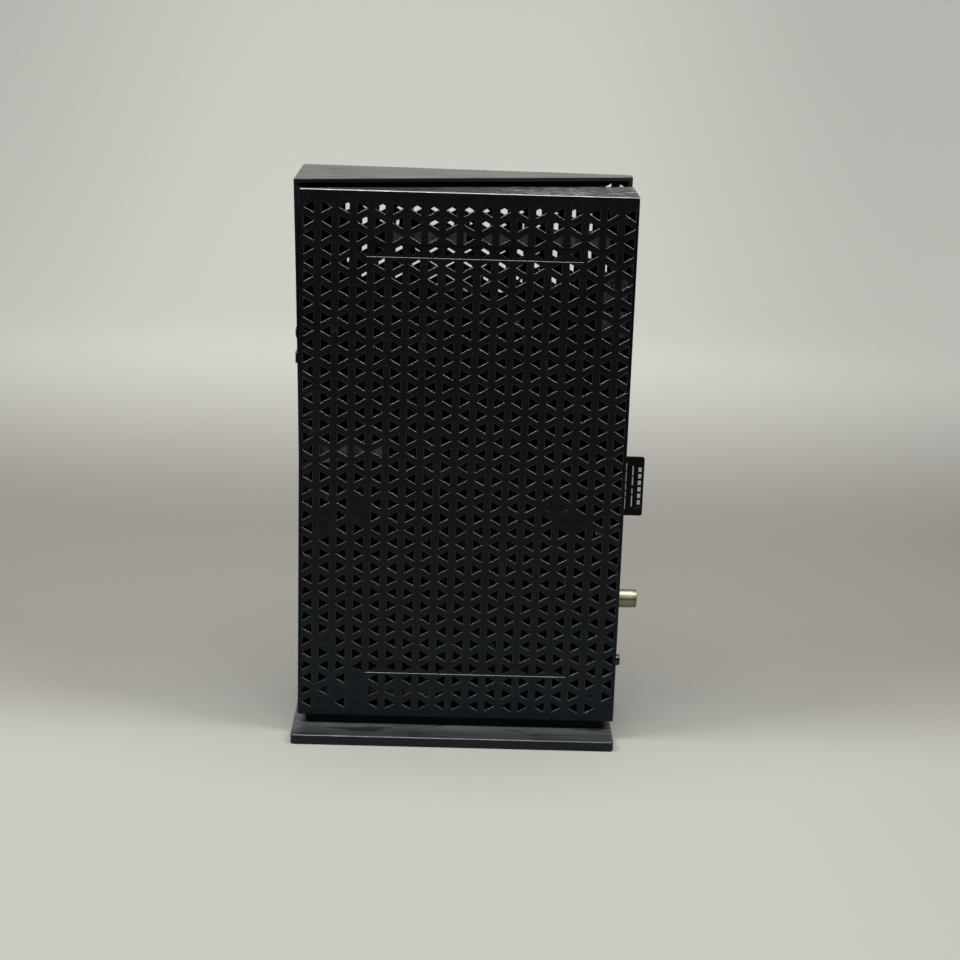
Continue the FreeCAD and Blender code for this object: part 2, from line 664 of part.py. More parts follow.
def tube(points, radius, bend):
    """A thin lead: straight runs joined by tangent arcs of one bend radius."""
    edges = []
    start = points[0]
    for before, corner, after in zip(points, points[1:], points[2:]):
        into = (corner - before).normalize()
        out = (after - corner).normalize()
        half = into.getAngle(out) / 2
        trim = bend * math.tan(half)
        first = corner - into * trim
        last = corner + out * trim
        centre = corner + (out - into).normalize() * (bend / math.cos(half))
        middle = centre + (corner - centre).normalize() * bend
        edges.append(Part.makeLine(start, first))
        edges.append(Part.Arc(first, middle, last).toShape())
        start = last
    edges.append(Part.makeLine(start, points[-1]))
    path = Part.Wire(edges)
    direction = (points[1] - points[0]).normalize()
    section = Part.Wire(Part.makeCircle(radius, points[0], direction))
    return path.makePipeShell([section], True, False)


def antenna_lead(index):
    """From a small board connector up to the antenna's lower edge."""
    x0, x1 = ANTENNAS[index]
    x = (x0 + x1) / 2
    board_x = LEAD_FIRST_X + LEAD_PITCH * index
    y = FRAME_Y - 1.0 - LEAD_RADIUS
    points = [V(board_x, BOARD_Y - 2.0, LEAD_Z), V(board_x, BOARD_Y - 2.0, LEAD_TURNS[0]),
              V(x - 8, y, LEAD_TURNS[1]), V(x - 8, y, ANTENNA_HIGH - 1.5)]
    return tube(points, LEAD_RADIUS, 4.0)


def antenna_plug(index):
    x = LEAD_FIRST_X + LEAD_PITCH * index
    return box(x - 1.5, x + 1.5, BOARD_Y - 3.0, BOARD_Y, LEAD_Z - 3.2, LEAD_Z)


def heat_sink():
    x0, x1, z0, z1 = SINK
    back_face = BOARD_Y - CHIP_HEIGHTS["modem"] - PAD_THICK
    front_face = back_face - SINK_BASE
    pitch = (x1 - x0 - FIN_THICK) / (FINS - 1)
    lefts = [x0 + index * pitch for index in range(FINS)]
    fins = [box(x, x + FIN_THICK, SINK_FRONT, front_face + 0.2, z0, z1) for x in lefts]
    return join([box(x0, x1, front_face, back_face, z0, z1)] + fins)


def chip(kind, x, z, width, height):
    return box(x, x + width, BOARD_Y - CHIP_HEIGHTS[kind], BOARD_Y, z, z + height)


def can(x0, x1, y0, z0, z1):
    """A sheet-metal screening can that opens onto the board."""
    outer = box(x0, x1, y0, BOARD_Y, z0, z1)
    upright = [e for e in outer.Edges if e.BoundBox.YLength > 1]
    outer = outer.makeFillet(0.8, upright)
    return outer.cut(box(x0 + 0.5, x1 - 0.5, y0 + 0.5, BOARD_Y + 1, z0 + 0.5, z1 - 0.5))


def capacitor(x, z, radius, height):
    top = BOARD_Y - height
    drum = rod_y(radius, top, BOARD_Y, x, z)
    return drum.makeFillet(0.5, [e for e in drum.Edges if e.BoundBox.YMax < top + 0.01])


def ribbon():
    """Flat cable from the lights board to the main board."""
    t = 0.4
    x = LIGHT_BOARD_X + LIGHT_BOARD_THICK
    outline = [(x, 15.0), (x + 6, 15.0), (30.0, 22.0), (40.0, 22.0), (40.0, BOARD_Y), (40.0 - t, BOARD_Y),
               (40.0 - t, 22.0 + t), (30.0 - t / 3, 22.0 + t), (x + 6 - t / 3, 15.0 + t), (x, 15.0 + t)]
    return prism(outline, 140.0, 150.0)


# ---------------------------------------------------------------- stand
def stand_base():
    half_length, half_depth = BASE_LENGTH / 2, BASE_DEPTH / 2
    base = box(-half_length, half_length, -half_depth, half_depth, FOOT_HEIGHT, BASE_TOP)
    base = base.makeFillet(2.0, [e for e in base.Edges if e.BoundBox.ZLength > 3])
    base = base.makeFillet(0.45, [e for e in base.Edges if e.BoundBox.ZMin > BASE_TOP - 0.01])
    room_x, room_y = half_length - BASE_RIM, half_depth - BASE_RIM
    hollow = box(-room_x, room_x, -room_y, room_y, 0, BASE_TOP - BASE_SKIN)
    keep = [box(x - 0.8, x + 0.8, -BASE_DEPTH, BASE_DEPTH, 0, BASE_TOP) for x in BASE_RIBS]
    keep += [rod_z(FOOT_RADIUS + 1.2, 0, BASE_TOP, x, y) for x, y in foot_places()]
    keep += [rod_z(5.0, 0, BASE_TOP, x + BODY_AT.x, y + BODY_AT.y) for x, y in STAND_SCREWS]
    for piece in keep:
        hollow = hollow.cut(piece)
    base = base.cut(hollow)
    cuts = [rod_z(FOOT_RADIUS + 0.1, 0, FOOT_HEIGHT + 0.8, x, y) for x, y in foot_places()]
    for x, y in STAND_SCREWS:
        cuts.append(rod_z(3.3, 0, 2.8, x + BODY_AT.x, y + BODY_AT.y))
        cuts.append(rod_z(1.7, 0, 10, x + BODY_AT.x, y + BODY_AT.y))
    for cut in cuts:
        base = base.cut(cut)
    return base


def foot_places():
    x, y = BASE_LENGTH / 2 - 14, BASE_DEPTH / 2 - 12
    return [(-x, -y), (x, -y), (-x, y), (x, y), (0, 0)]


def rubber_foot(x, y):
    foot = rod_z(FOOT_RADIUS, 0, FOOT_HEIGHT + 0.8, x, y)
    return foot.makeFillet(0.25, [e for e in foot.Edges if e.BoundBox.ZMax < 0.01])


def stand_neck():
    """A shallow upturned tray between the base and the body."""
    right = PANEL_LENGTH - NECK_INSET - 0.8
    front = 1.5
    behind_right = back(right) - 3.0
    behind_left = back(NECK_INSET) - 3.0

    def outline(inset):
        return [(NECK_INSET + inset, front + inset), (right - inset, front + inset),
                (right - inset, behind_right - inset), (NECK_INSET + inset, behind_left - inset)]

    outer = prism(outline(0), BASE_TOP, PANEL_BOTTOM)
    outer = outer.makeFillet(5.5, [e for e in outer.Edges if e.BoundBox.ZLength > 3])
    tray = outer.cut(prism(outline(NECK_WALL), BASE_TOP - 1, PANEL_BOTTOM - NECK_WEB))
    tubes = [rod_z(4.5, BASE_TOP, PANEL_BOTTOM, x, y) for x, y in STAND_SCREWS]
    return join([tray] + tubes).cut(group([rod_z(1.7, 0, 12, x, y) for x, y in STAND_SCREWS]))


# ---------------------------------------------------------------- save every piece
def main():
    at_origin = V(0, 0, 0)
    save("stand_base", stand_base(), at_origin)
    save("rubber_feet", group(rubber_foot(x, y) for x, y in foot_places()), at_origin)
    save("stand_neck", stand_neck())
    stand_screw = screw(SCREW_CORE, 2.9, 1.6, 13.6)
    save("stand_screws", group(placed(stand_screw, "-Z", V(x, y, 2.8)) for x, y in STAND_SCREWS))

    save("front_cover", front_cover())
    save("rear_cover", rear_cover())
    save("port_panel", port_panel())
    save("seam_strip_top", seam_strip(PANEL_TOP - WALL - SEAM_THICK, PANEL_TOP - WALL))
    save("seam_strip_bottom", seam_strip(PANEL_BOTTOM + WALL, PANEL_BOTTOM + WALL + SEAM_THICK))
    cover_screw = screw(SCREW_CORE, SCREW_HEAD_RADIUS, 1.8, 11.6)
    save("cover_screws", group(
        placed(cover_screw, "+Y", V(x, meet + SCREW_FLOOR, z)) for x, z, meet in POSTS))

    save("led_bezel", led_bezel())
    save("led_lenses", group(led_lens(z) for z in light_heights()))
    save("led_board", led_board())
    save("leds", group(led_chip(z) for z in light_heights()))
    save("wifi_button", wifi_button())
    save("wps_button", wps_button())
    save("wifi_switch", side_switch(WIFI_BUTTON_Z))
    save("wps_switch", side_switch(WPS_BUTTON_Z))
    small_screw = screw(0.8, 1.6, 1.0, 4.0)
    save("led_board_screws", group(
        placed(small_screw, "+X", V(LIGHT_BOARD_X + LIGHT_BOARD_THICK, LIGHT_Y + 3.5, z))
        for z in LIGHT_BOARD_SCREWS))

    save("main_board", main_board())
    save("inner_frame", inner_frame())
    board_screw = screw(0.9, 2.4, 1.4, 6.5)
    save("board_screws", group(placed(board_screw, "-Y", V(x, BOARD_Y, z)) for x, z in BOARD_HOLES))
    frame_screw = screw(1.0, 2.2, 1.4, 9.5)
    save("frame_screws", group(placed(frame_screw, "-Y", V(x, FRAME_Y, z)) for x, z in FRAME_FIXINGS))
    save("modem_chip", chip("modem", 74, 74, 22, 22))
    pad_back = BOARD_Y - CHIP_HEIGHTS["modem"]
    save("thermal_pad", box(72, 98, pad_back - PAD_THICK, pad_back, 72, 98))
    save("heat_sink", heat_sink())
    save("router_chip", chip("router", 80, 126, 17, 17))
    save("memory_chips", group(chip("memory", x, z, 8, 12) for x, z in MEMORY_PLACES))
    save("wifi_shield", can(56, 112, 23.2, 160, 204))
    save("tuner_shield", can(126, 157.4, 12.4, 58.2, 82.6))
    save("capacitors", group(capacitor(x, z, radius, height) for x, z, radius, height in CAPACITORS))

    save("coax_connector", coax_connector())
    save("coax_insulator", coax_insulator())
    save("coax_nut", coax_nut())
    save("dc_jack", dc_jack())
    save("dc_pin", dc_pin())
    save("power_switch", power_switch())
    save("power_button", power_button())
    save("reset_switch", reset_switch())
    save("reset_button", rod_x(1.3, 154.6, 157.2, PORT_Y + 3.2, RESET_Z))
    save("label_card", label_card())
    save("label_sleeve", label_sleeve())
    for number, z in enumerate(lan_heights(), 1):
        save("lan_jack_%d" % number, lan_jack(z))
    save("lan_contacts", group(wire for z in lan_heights() for wire in lan_contacts(z)))
    for name, z in zip(("usb_port_lower", "usb_port_upper"), USB_Z):
        save(name, usb_port(z))
    save("usb_tongues", group(usb_tongue(z) for z in USB_Z))

    for number, (x0, x1) in enumerate(ANTENNAS, 1):
        save("antenna_board_%d" % number, antenna_board(x0, x1))
        save("antenna_lead_%d" % number, antenna_lead(number - 1))
    save("antenna_plugs", group(antenna_plug(index) for index in range(len(ANTENNAS))))
    save("ribbon_cable", ribbon())


main()
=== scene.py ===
import json
import math

import bmesh
import bpy
from mathutils import Matrix, Vector


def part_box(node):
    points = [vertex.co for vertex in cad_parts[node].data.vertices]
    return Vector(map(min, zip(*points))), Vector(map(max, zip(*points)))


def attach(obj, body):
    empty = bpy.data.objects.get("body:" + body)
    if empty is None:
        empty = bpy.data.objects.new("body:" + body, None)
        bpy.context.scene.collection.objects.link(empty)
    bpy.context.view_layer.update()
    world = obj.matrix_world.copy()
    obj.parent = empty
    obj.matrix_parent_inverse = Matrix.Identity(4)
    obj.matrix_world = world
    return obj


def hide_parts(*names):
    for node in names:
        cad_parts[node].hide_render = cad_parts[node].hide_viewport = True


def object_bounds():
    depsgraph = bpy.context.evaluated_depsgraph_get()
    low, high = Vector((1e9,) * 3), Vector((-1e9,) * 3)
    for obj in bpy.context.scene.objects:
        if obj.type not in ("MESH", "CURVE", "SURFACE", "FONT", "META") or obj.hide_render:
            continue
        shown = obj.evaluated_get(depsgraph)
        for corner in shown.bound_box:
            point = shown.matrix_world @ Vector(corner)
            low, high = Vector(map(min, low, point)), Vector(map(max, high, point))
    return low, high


# The upright modem router on its stand: finishes, rounded mouldings and printed marks on the CAD frame.
# Metres, in the CAD's frame: +X is the socket edge, -Y the perforated front, +Z up, the floor at 0.

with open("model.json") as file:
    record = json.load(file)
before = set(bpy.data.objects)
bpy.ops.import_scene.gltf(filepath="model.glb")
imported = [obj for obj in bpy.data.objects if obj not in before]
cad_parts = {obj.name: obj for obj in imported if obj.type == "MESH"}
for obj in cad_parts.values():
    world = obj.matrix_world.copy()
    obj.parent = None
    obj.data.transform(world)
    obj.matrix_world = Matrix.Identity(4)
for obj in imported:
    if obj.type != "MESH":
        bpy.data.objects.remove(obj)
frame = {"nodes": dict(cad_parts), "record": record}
cad_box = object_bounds()
nodes = frame["nodes"]
bodies = frame["record"]["behaviour"]["bodies"]
body_of = {node: body for body, members in bodies.items() for node in members}

MM = 0.001
PANEL_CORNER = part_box("front_cover")[0]
STAND_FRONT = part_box("stand_base")[0].y
TOP = cad_box[1].z


def at(x, y, z):
    """A place in metres, from millimetres right of and behind the panel's left edge, and above the floor."""
    return Vector((PANEL_CORNER.x + x * MM, PANEL_CORNER.y + y * MM, z * MM))


# ---------------------------------------------------------------- camera, floor and lights
# Angles are in degrees: yaw to the right of +Y, pitch down, roll with the right side raised.
CAMERA_PLACE = Vector((-2.8, -947.1, 402.9)) * MM
CAMERA_YAW = 0.82
CAMERA_PITCH = 16.12
CAMERA_ROLL = 1.77
CAMERA_LENS = 72.4
CAMERA_SENSOR = 36.0


def add_camera():
    yaw, pitch, roll = (math.radians(angle) for angle in (CAMERA_YAW, CAMERA_PITCH, CAMERA_ROLL))
    ahead = Vector((math.sin(yaw) * math.cos(pitch), math.cos(yaw) * math.cos(pitch), -math.sin(pitch)))
    level = Vector((math.cos(yaw), -math.sin(yaw), 0))
    down = ahead.cross(level)
    right = level * math.cos(roll) - down * math.sin(roll)
    down = level * math.sin(roll) + down * math.cos(roll)
    camera = bpy.data.objects.new("camera", bpy.data.cameras.new("camera"))
    turn = Matrix((right, -down, -ahead)).transposed().to_4x4()
    camera.matrix_world = Matrix.Translation(CAMERA_PLACE) @ turn
    camera.data.lens = CAMERA_LENS
    camera.data.sensor_width = CAMERA_SENSOR
    camera.data.clip_start = 0.01
    bpy.context.scene.collection.objects.link(camera)
    bpy.context.scene.camera = camera


def add_light(name, place, aim, size, power, colour):
    lamp = bpy.data.lights.new(name, "AREA")
    lamp.shape = "RECTANGLE"
    lamp.size, lamp.size_y = size
    lamp.energy = power
    lamp.color = colour
    light = bpy.data.objects.new(name, lamp)
    light.location = place
    light.rotation_euler = (Vector(aim) - Vector(place)).to_track_quat("-Z", "Y").to_euler()
    bpy.context.scene.collection.objects.link(light)


def add_world(strength):
    world = bpy.data.worlds.new("studio_air")
    world.use_nodes = True
    air = world.node_tree.nodes["Background"]
    air.inputs["Color"].default_value = (0.93, 0.96, 1.0, 1.0)
    air.inputs["Strength"].default_value = strength
    bpy.context.scene.world = world


def shade(build, angle):
    """Smooth faces, with a hard edge where two of them meet at more than an angle in degrees."""
    for face in build.faces:
        face.smooth = True
    for edge in build.edges:
        edge.smooth = not edge.is_manifold or edge.calc_face_angle() < math.radians(angle)


def add_object(name, build, materials=()):
    """An object from a mesh under construction, which this ends."""
    mesh = bpy.data.meshes.new(name)
    build.to_mesh(mesh)
    build.free()
    for material in materials:
        mesh.materials.append(material)
    made = bpy.data.objects.new(name, mesh)
    bpy.context.scene.collection.objects.link(made)
    return made


def lathe(name, profile, steps, place, material, axis="Z"):
    """A surface turned from (radius, height) points about an axis through place."""
    build = bmesh.new()
    rings = []
    for radius, height in profile:
        ring = []
        for step in range(steps if radius > 0 else 1):
            turn = 2 * math.pi * step / steps
            point = Vector((radius * math.cos(turn), radius * math.sin(turn), height))
            if axis == "X":
                point = Vector((point.z, point.x, point.y))
            ring.append(build.verts.new(point + Vector(place)))
        rings.append(ring)
    for low, high in zip(rings, rings[1:]):
        for step in range(steps):
            after = (step + 1) % steps
            corners = [low[step % len(low)], low[after % len(low)],
                       high[after % len(high)], high[step % len(high)]]
            corners = list(dict.fromkeys(corners))
            if len(corners) > 2:
                build.faces.new(corners)
    bmesh.ops.recalc_face_normals(build, faces=build.faces)
    shade(build, 35)
    return add_object(name, build, [material])


# ---------------------------------------------------------------- finishes
class Finish:
    """A procedural material under construction. Sizes of patterns are in millimetres."""

    def __init__(self, name, roughness, colour=None, metallic=0.0, specular=0.5, coat=0.0):
        self.material = bpy.data.materials.new(name)
        self.material.use_nodes = True
        self.tree = self.material.node_tree
        self.shader = self.tree.nodes["Principled BSDF"]
        self.place = self.tree.nodes.new("ShaderNodeTexCoord").outputs["Object"]
        self.set("Roughness", roughness)
        if colour:
            self.set("Base Color", (*colour, 1))
        self.set("Metallic", metallic)
        self.set("Specular IOR Level", specular)
        self.set("Coat Weight", coat)

    def set(self, socket, value):
        if isinstance(value, bpy.types.NodeSocket):
            self.tree.links.new(value, self.shader.inputs[socket])
        else:
            self.shader.inputs[socket].default_value = value

    def node(self, kind, inputs, **settings):
        made = self.tree.nodes.new(kind)
        for key, value in settings.items():
            setattr(made, key, value)
        for key, value in inputs.items():
            if isinstance(value, bpy.types.NodeSocket):
                self.tree.links.new(value, made.inputs[key])
            else:
                made.inputs[key].default_value = value
        return made

    def stretched(self, stretch):
        return self.node("ShaderNodeMapping", {"Vector": self.place, "Scale": stretch}).outputs["Vector"]

    def noise(self, size, detail=2.0, stretch=None, rough=0.55, distortion=0.0):
        place = self.stretched(stretch) if stretch else self.place
        return self.node("ShaderNodeTexNoise", {"Vector": place, "Scale": 1 / (size * MM), "Detail": detail,
                                                "Roughness": rough, "Distortion": distortion}).outputs["Fac"]

    def cells(self, size):
        """The distance from scattered points about size apart."""
        return self.node("ShaderNodeTexVoronoi", {"Vector": self.place, "Scale": 1 / (size * MM)},
                         feature="F1").outputs["Distance"]

    def bands(self, per_millimetre, direction):
        inputs = {"Vector": self.place, "Scale": per_millimetre / MM, "Distortion": 0.0}
        return self.node("ShaderNodeTexWave", inputs, wave_type="BANDS",
                         bands_direction=direction).outputs["Fac"]

    def spread(self, value, low, high, out_low=0.0, out_high=1.0, smooth=True):
        """value from low..high to out_low..out_high, held at the ends."""
        shape = "SMOOTHSTEP" if smooth else "LINEAR"
        return self.node("ShaderNodeMapRange", {"Value": value, "From Min": low, "From Max": high,
                                                "To Min": out_low, "To Max": out_high},
                         interpolation_type=shape).outputs["Result"]

    def maths(self, operation, first, second=0.0):
        made = self.node("ShaderNodeMath", {}, operation=operation)
        for socket, value in zip(made.inputs, (first, second)):
            if isinstance(value, bpy.types.NodeSocket):
                self.tree.links.new(value, socket)
            else:
                socket.default_value = value
        return made.outputs["Value"]

    def mix(self, factor, first, second):
        made = self.node("ShaderNodeMix", {}, data_type="RGBA")
        for socket, value in zip((made.inputs[0], made.inputs[6], made.inputs[7]), (factor, first, second)):
            if isinstance(value, bpy.types.NodeSocket):
                self.tree.links.new(value, socket)
            elif isinstance(value, (tuple, list)):
                socket.default_value = (*value, 1)
            else:
                socket.default_value = value
        return made.outputs[2]

    def axes(self):
        """X, Y and Z in metres."""
        return self.node("ShaderNodeSeparateXYZ", {"Vector": self.place}).outputs

    def upward(self, low=0.6, high=0.95):
        """1 on faces that look up, 0 on the rest."""
        facing = self.node("ShaderNodeNewGeometry", {}).outputs["Normal"]
        height = self.node("ShaderNodeSeparateXYZ", {"Vector": facing}).outputs["Z"]
        return self.spread(height, low, high)

    def bump(self, height, depth, strength=1.0, under=None):
        inputs = {"Height": height, "Distance": depth * MM, "Strength": strength}
        if under:
            inputs["Normal"] = under
        return self.node("ShaderNodeBump", inputs).outputs["Normal"]


def tinted(colour, factor):
    return tuple(min(1.0, part * factor) for part in colour)


# Where the black mouldings' finish changes over the object, painted shade and painted light among it.
PAINTED_SHADE_TOP = TOP - 3.3 * MM
PAINTED_FLOOR_LIGHT = (12 * MM, 90 * MM)
CROWN_HEIGHTS = (TOP - 16.3 * MM, TOP - 11.3 * MM)
CROWN_REACH = (at(9.5, 0, 0).x, at(149.5, 0, 0).x)
TREAD_SHEEN_DEPTHS = (STAND_FRONT + 3 * MM, at(0, 6.4, 0).y)
RUBBED_REACH = (at(49.5, 0, 0).x, at(129.5, 0, 0).x)

# A painted sheen: the grey that the crown's rim is lightened to.
CROWN_SHEEN_GREY = (0.012, 0.0135, 0.0145)
DUST_GREY = (0.16, 0.155, 0.145)
RUBBED_GREY = (0.62, 0.62, 0.60)
LINT_GREY = (0.22, 0.215, 0.20)
BLUISH = (0.84, 0.95, 1.0, 1.0)


def mottle_and_painted_light(finish, colour, crown_sheen):
    """The plastic's own colour in a random mottle, with painted shade deepening it towards the top, painted
    light lightening it near the floor and a painted sheen greying a crown's rim.
    """
    along, _, height = finish.axes()
    mottle = finish.spread(finish.noise(45, detail=3), 0.3, 0.7)
    tone = finish.mix(mottle, tinted(colour, 0.82), tinted(colour, 1.2))
    # Painted shade: darker towards the top.
    tone = finish.mix(finish.spread(height, 0.0, PAINTED_SHADE_TOP, 0.0, 0.65, smooth=False), tone, (0.0, 0.0, 0.0))
    # Painted light: lighter near the floor, as if lit from it.
    tone = finish.mix(finish.spread(height, *PAINTED_FLOOR_LIGHT, 1.0, 0.0), tone, tinted(colour, 1.9))
    # Painted sheen: the crown's rim greyer, more so towards the right.
    if crown_sheen:
        sheen_rim = finish.maths("MULTIPLY", finish.spread(height, *CROWN_HEIGHTS),
                           finish.spread(along, *CROWN_REACH, 0.15, 1.0))
        tone = finish.mix(sheen_rim, tone, CROWN_SHEEN_GREY)
    return tone


def dust_and_tread_sheen(finish, streaks, tread_sheen):
    """How thick the dust is: specks in a film wiped in streaks, on faces that look up; with the tread option
    the film also thickens towards the back of the stand's top, a painted reflection.
    """
    specks = finish.spread(finish.noise(1.1, detail=2), 0.66, 0.76)
    film = finish.noise(16, detail=5, stretch=(0.35, 1, 1), distortion=0.8)
    film = finish.spread(film, 0.3, 0.8, 0.55, 1.0)
    wiped = finish.noise(4, detail=3, stretch=(0.12, 1, 1), distortion=1.2)
    wiped = finish.spread(wiped, 0.54, 0.62, 1.0, 1.0 - 0.6 * streaks)
    film = finish.maths("MULTIPLY", film, wiped)
    # Painted reflection: more film towards the back of the stand's top.
    if tread_sheen:
        film = finish.maths("MULTIPLY", film, finish.spread(finish.axes()["Y"], *TREAD_SHEEN_DEPTHS, 0.7, 2.2))
    dust_and_sheen = finish.maths("ADD", finish.maths("MULTIPLY", specks, 0.5), film)
    return finish.maths("MULTIPLY", dust_and_sheen, finish.upward())


def rub_marks(finish, specular):
    """Where faces that look up are rubbed, in waves and hairs. It dulls the gloss between the marks."""
    waves = finish.noise(2.6, detail=3, stretch=(0.3, 1, 1), distortion=2.2)
    waves = finish.spread(waves, 0.53, 0.62)
    hairs = finish.noise(0.7, detail=2, stretch=(0.12, 1, 1), distortion=0.6)
    hairs = finish.spread(hairs, 0.55, 0.66)
    reach = finish.spread(finish.axes()["X"], *RUBBED_REACH, 0.12, 1.0)
    rubs = finish.maths("MAXIMUM", waves, finish.maths("MULTIPLY", hairs, 0.6))
    rubs = finish.maths("MULTIPLY", finish.maths("MULTIPLY", rubs, reach), finish.upward())
    quiet = finish.maths("MULTIPLY", finish.maths("SUBTRACT", 1.0, rubs), finish.upward())
    finish.set("Specular IOR Level", finish.spread(quiet, 0, 1, specular, specular * 0.25, smooth=False))
    return rubs


def lint_and_hairlines(finish):
    lint = finish.maths("MULTIPLY", finish.spread(finish.cells(7.0), 0.022, 0.034, 1, 0), 0.35)
    ridges = finish.noise(9, detail=1, stretch=(1, 1, 0.5), distortion=1.2)
    hairlines = finish.maths("MULTIPLY", finish.spread(ridges, 0.498, 0.5035),
                             finish.spread(ridges, 0.5035, 0.509, 1, 0))
    return finish.maths("MAXIMUM", lint, finish.maths("MULTIPLY", hairlines, 0.05))


def moulded(name, colour, roughness, grain=0.45, relief=0.018, marks=0.035, dust=0.25, specular=0.22,
            scuffed=0.0, dust_colour=DUST_GREY, streaks=1.0, tread_sheen=False, crown_sheen=False):
    """Black moulded plastic: spark-eroded grain, handling marks in the gloss, dust and scuffs facing up.

    It carries painted shade towards the top and painted light near the floor. The tread option thickens the
    dust towards the back of the stand's top, a painted reflection; the crown option lightens the rear
    cover's top rim, a painted sheen."""
    finish = Finish(name, roughness, specular=specular)
    finish.set("Specular Tint", BLUISH)
    smear = finish.noise(24, detail=5, stretch=(1, 1, 0.6), distortion=0.6)
    wipes = finish.noise(5, detail=3, stretch=(0.25, 1, 1))
    gloss = finish.maths("ADD", finish.spread(smear, 0.35, 0.7, -marks, marks),
                         finish.spread(wipes, 0.3, 0.7, -0.02, 0.02))
    finish.set("Roughness", finish.maths("ADD", gloss, roughness))
    tone = mottle_and_painted_light(finish, colour, crown_sheen)
    dust_and_sheen = finish.maths("MULTIPLY", dust_and_tread_sheen(finish, streaks, tread_sheen), dust)
    tone = finish.mix(dust_and_sheen, tone, dust_colour)
    if scuffed:
        rubs = rub_marks(finish, specular)
        tone = finish.mix(finish.maths("MULTIPLY", rubs, scuffed), tone, RUBBED_GREY)
    finish.set("Base Color", finish.mix(lint_and_hairlines(finish), tone, LINT_GREY))
    grainy = finish.bump(finish.noise(grain, detail=2, rough=0.6), relief, 0.5)
    finish.set("Normal", finish.bump(smear, 0.04, 0.15, grainy))
    return finish.material


def worn_edge(name, colour, roughness, specular=0.55):
    """The rounded edges of a black moulding, rubbed slightly smoother and greyer in places."""
    finish = Finish(name, roughness, specular=specular)
    finish.set("Specular Tint", (0.86, 0.95, 1.0, 1.0))
    height = finish.axes()["Z"]
    finish.set("Specular IOR Level", finish.spread(height, 20 * MM, 200 * MM, specular * 0.6, specular))
    rubbed = finish.spread(finish.noise(7, detail=4, distortion=0.5), 0.45, 0.72)
    nicks = finish.spread(finish.noise(0.9, detail=2), 0.62, 0.72)
    wear = finish.maths("MULTIPLY", finish.maths("ADD", finish.maths("MULTIPLY", nicks, 0.5), 0.5), rubbed)
    finish.set("Base Color", finish.mix(wear, colour, tinted(colour, 3.0)))
    finish.set("Roughness", finish.spread(rubbed, 0, 1, roughness + 0.04, roughness - 0.07, smooth=False))
    finish.set("Normal", finish.bump(finish.noise(0.5), 0.012, 0.15))
    return finish.material


def polished_black(name, colour, roughness):
    """Gloss black trim with hairline scratches and finger smears."""
    finish = Finish(name, roughness, coat=0.25)
    finish.set("Coat Roughness", 0.06)
    smear = finish.noise(11, detail=5, distortion=0.9)
    hair = finish.noise(0.5, detail=3, stretch=(1, 0.04, 0.3))
    smeared = finish.spread(smear, 0.4, 0.72, roughness, roughness + 0.12)
    finish.set("Roughness", finish.maths("ADD", smeared, finish.spread(hair, 0.6, 0.8, 0, 0.08)))
    finish.set("Base Color", finish.mix(finish.spread(smear, 0.45, 0.8), colour, tinted(colour, 1.7)))
    finish.set("Normal", finish.bump(hair, 0.006, 0.3))
    return finish.material


def metal(name, colour, roughness, grain=(0.06, 1, 1), stain=(0.28, 0.22, 0.16), stained=0.3, drawn=0.35):
    """Plated or drawn metal: fine drawing lines, and patches gone dull."""
    finish = Finish(name, roughness, metallic=1.0)
    lines = finish.noise(0.35, detail=3, stretch=grain)
    patches = finish.spread(finish.noise(3.2, detail=5, distortion=0.7), 0.45, 0.75)
    finish.set("Base Color", finish.mix(finish.maths("MULTIPLY", patches, stained), colour, stain))
    finish.set("Roughness", finish.maths("ADD", finish.spread(patches, 0, 1, roughness, roughness + 0.18),
                                         finish.spread(lines, 0.35, 0.65, -0.04, 0.05)))
    finish.set("Normal", finish.bump(lines, 0.006, drawn))
    return finish.material


PLATED = (0.42, 0.36, 0.20)


def circuit_board(name, mask, track, specular):
    """Solder mask over copper: straight tracks in bundles, flood areas and plated holes."""
    finish = Finish(name, 0.34, specular=specular)
    bundle = finish.spread(finish.noise(9, detail=1), 0.46, 0.5)
    lines = finish.bands(0.36, "X")
    across = finish.bands(0.31, "Z")
    choice = finish.spread(finish.noise(14, detail=0), 0.49, 0.51)
    ways = finish.maths("ADD", finish.maths("MULTIPLY", lines, choice),
                        finish.maths("MULTIPLY", across, finish.maths("SUBTRACT", 1.0, choice)))
    raised = finish.maths("MULTIPLY", finish.spread(ways, 0.45, 0.6), bundle)
    holes = finish.spread(finish.cells(3.1), 0.10, 0.13, 1, 0)
    flooded = finish.mix(raised, mask, track)
    finish.set("Base Color", finish.mix(holes, flooded, tinted(PLATED, specular)))
    finish.set("Normal", finish.bump(raised, 0.035, 0.6))
    finish.set("Roughness", finish.spread(finish.noise(6, detail=4), 0.35, 0.7, 0.28, 0.42))
    return finish.material


def ceramic(name, colour, roughness, size=0.8):
    """A plain hard or soft surface with fine mottling: chips, pads, labels, sleeves."""
    finish = Finish(name, roughness)
    mottle = finish.noise(size, detail=4)
    patches = finish.spread(mottle, 0.3, 0.7)
    finish.set("Base Color", finish.mix(patches, tinted(colour, 0.86), tinted(colour, 1.1)))
    handled = finish.noise(size * 4, detail=3)
    finish.set("Roughness", finish.spread(handled, 0.3, 0.7, roughness - 0.06, roughness + 0.07))
    finish.set("Normal", finish.bump(mottle, 0.01, 0.4))
    return finish.material


def rubber(name, colour):
    finish = Finish(name, 0.85, specular=0.3)
    pebble = finish.noise(0.35, detail=3)
    dusty = finish.spread(finish.noise(2.4, detail=4), 0.5, 0.75)
    finish.set("Base Color", finish.mix(finish.maths("MULTIPLY", dusty, 0.35), colour, (0.15, 0.145, 0.135)))
    finish.set("Normal", finish.bump(pebble, 0.04, 0.6))
    return finish.material


